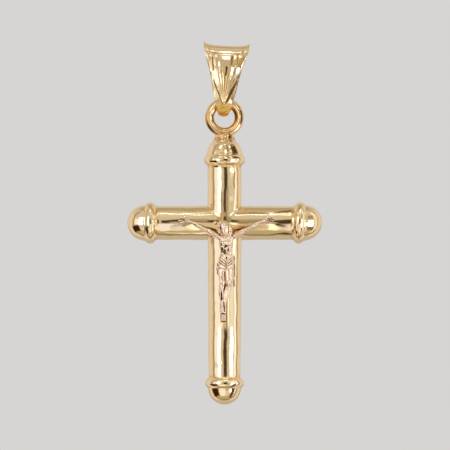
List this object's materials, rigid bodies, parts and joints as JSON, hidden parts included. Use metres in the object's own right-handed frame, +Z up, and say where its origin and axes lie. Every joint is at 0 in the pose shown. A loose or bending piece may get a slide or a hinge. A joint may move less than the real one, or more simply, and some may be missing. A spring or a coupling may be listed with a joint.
{
  "type": "crucifix pendant",
  "caption": "Hollow round-tube cross with ridged domed caps, a cast figure pegged to its front, and a soldered loop that hangs in a folded, faceted bail.",
  "frame": {"origin": "inside top of the bail, where a chain bears", "axes": "+Z up, +X to the viewer's right, the front with the figure faces -Y"},
  "size_m": [0.0208, 0.005, 0.0384],
  "materials": {
    "yellow_gold": "polished",
    "yellow_gold_bright": "polished, diamond cut",
    "rose_gold": "polished casting"
  },
  "bodies": {
    "bail": {"bail": "yellow_gold_bright"},
    "pendant": {"cross": "yellow_gold", "corpus": "rose_gold"}
  },
  "joints": [
    {"name": "loop_swing", "type": "hinge", "parent": "bail", "child": "pendant", "pos_m": [0, 0, -0.0057], "axis": [1, 0, 0], "range_deg": [-80, 80]}
  ]
}
